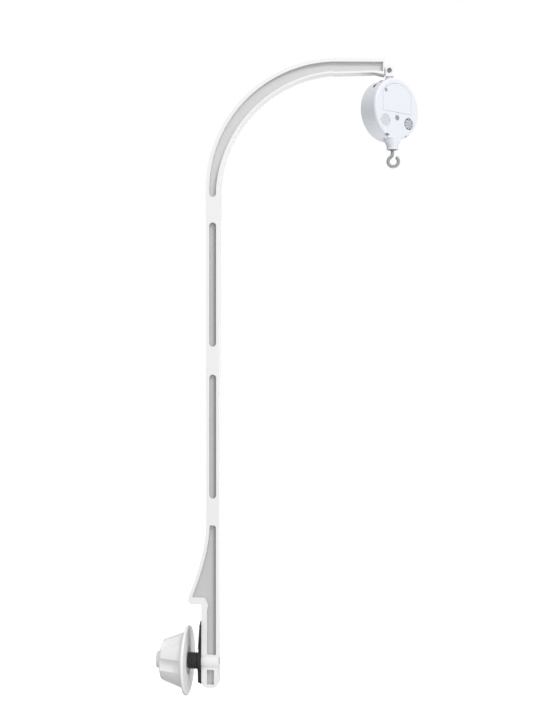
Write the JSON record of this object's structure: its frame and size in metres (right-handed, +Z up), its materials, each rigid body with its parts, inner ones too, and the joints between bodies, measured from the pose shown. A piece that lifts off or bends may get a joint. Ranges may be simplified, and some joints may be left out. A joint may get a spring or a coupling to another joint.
{
  "type": "crib mobile arm with music box",
  "caption": "Crib rail clamp with plug-together poles and a curved arm, carrying a swivelling music box whose geared motor turns a hook for hanging toys.",
  "frame": {"origin": "centre of the underside of the bracket's ledge, where it rests on the crib rail", "axes": "+Z up along the poles, +X the way the curved arm reaches over the crib, +Y across the arm"},
  "size_m": [0.3267, 0.086, 0.7942],
  "materials": {
    "arm_white": "satin moulded plastic",
    "case_white": "satin moulded plastic with a cool tint",
    "pad_rubber": "ribbed matte rubber",
    "bolt_black": "moulded glass-filled plastic",
    "steel": "zinc-plated steel",
    "pin_dark": "blackened steel",
    "grille_dark": "perforated insert",
    "button_grey": "soft satin",
    "switch_black": "satin",
    "hook_grey": "satin moulded acetal",
    "gear_nylon": "natural acetal",
    "brass": "turned",
    "motor_steel": "plated can",
    "board_green": "solder mask",
    "cell_copper": "printed foil",
    "wire_red": "insulation"
  },
  "bodies": {
    "root": {"clamp_bracket": "arm_white", "jaw_pad": "pad_rubber", "clamp_bolt": "bolt_black", "bolt_screw": "steel", "lower_pole": "arm_white", "upper_pole": "arm_white", "curved_arm": "arm_white"},
    "plate": {"pressure_plate": "arm_white"},
    "knob": {"clamp_knob": "arm_white", "plate_ring": "steel"},
    "hanger": {"hanger": "arm_white", "hanger_pin": "pin_dark", "swivel_clip": "steel"},
    "box": {"front_cover": "case_white", "rear_shell": "case_white", "speaker_grilles": "grille_dark", "batteries": "cell_copper", "battery_contacts": "steel", "circuit_board": "board_green", "button_board": "board_green", "speaker_left": "grille_dark", "speaker_right": "grille_dark", "gear_motor": "motor_steel", "idler_axle": "steel", "gear_plate": "gear_nylon", "output_bush": "brass", "case_screws": "steel", "wiring": "wire_red"},
    "door": {"battery_door": "case_white", "door_screw": "steel"},
    "button": {"power_button": "button_grey"},
    "volume": {"volume_switch": "switch_black"},
    "mode": {"mode_switch": "switch_black"},
    "pinion": {"motor_pinion": "brass"},
    "idler": {"idler_gear": "gear_nylon"},
    "output": {"output_gear": "gear_nylon", "output_shaft": "steel", "hook": "hook_grey"}
  },
  "joints": [
    {"name": "plate_travel", "type": "slide", "parent": "root", "child": "plate", "axis": [1, 0, 0], "range_m": [-0.0088, 0.0088]},
    {"name": "knob_turn", "type": "hinge", "parent": "plate", "child": "knob", "pos_m": [0, 0, -0.072], "axis": [1, 0, 0], "range_deg": [-1080, 1080]},
    {"name": "box_sway", "type": "hinge", "parent": "root", "child": "hanger", "pos_m": [0.2429, 0, 0.6623], "axis": [0, 1, 0], "range_deg": [-10, 10]},
    {"name": "hanger_swivel", "type": "hinge", "parent": "hanger", "child": "box", "pos_m": [0.2429, 0, 0.65], "axis": [0, 0, 1], "range_deg": [-40, 90]},
    {"name": "door_swing", "type": "hinge", "parent": "box", "child": "door", "pos_m": [0.25245, -0.00955, 0.6093], "axis": [0.7071, 0.7071, 0], "range_deg": [0, 100]},
    {"name": "button_press", "type": "slide", "parent": "box", "child": "button", "axis": [-0.7071, 0.7071, 0], "range_m": [0, 0.0006], "stiffness_N_per_m": 300},
    {"name": "volume_slide", "type": "slide", "parent": "box", "child": "volume", "axis": [0.646, 0.646, 0.4067], "range_m": [-0.0018, 0.0018]},
    {"name": "mode_slide", "type": "slide", "parent": "box", "child": "mode", "axis": [0.5087, 0.5087, 0.6947], "range_m": [-0.0018, 0.0018]},
    {"name": "output_spin", "type": "hinge", "parent": "box", "child": "output", "pos_m": [0.24644, -0.00354, 0.5764], "axis": [0, 0, 1], "continuous": true},
    {"name": "idler_spin", "type": "hinge", "parent": "box", "child": "idler", "pos_m": [0.23901, -0.00248, 0.5904], "axis": [0, 0, 1], "continuous": true},
    {"name": "pinion_spin", "type": "hinge", "parent": "box", "child": "pinion", "pos_m": [0.23106, -0.01043, 0.5934], "axis": [0, 0, 1], "continuous": true}
  ],
  "couplings": [
    {"joint": "plate_travel", "follows": "knob_turn", "m_per_rad": 0.00046155},
    {"joint": "idler_spin", "follows": "output_spin", "ratio": -2},
    {"joint": "pinion_spin", "follows": "output_spin", "ratio": 8}
  ]
}
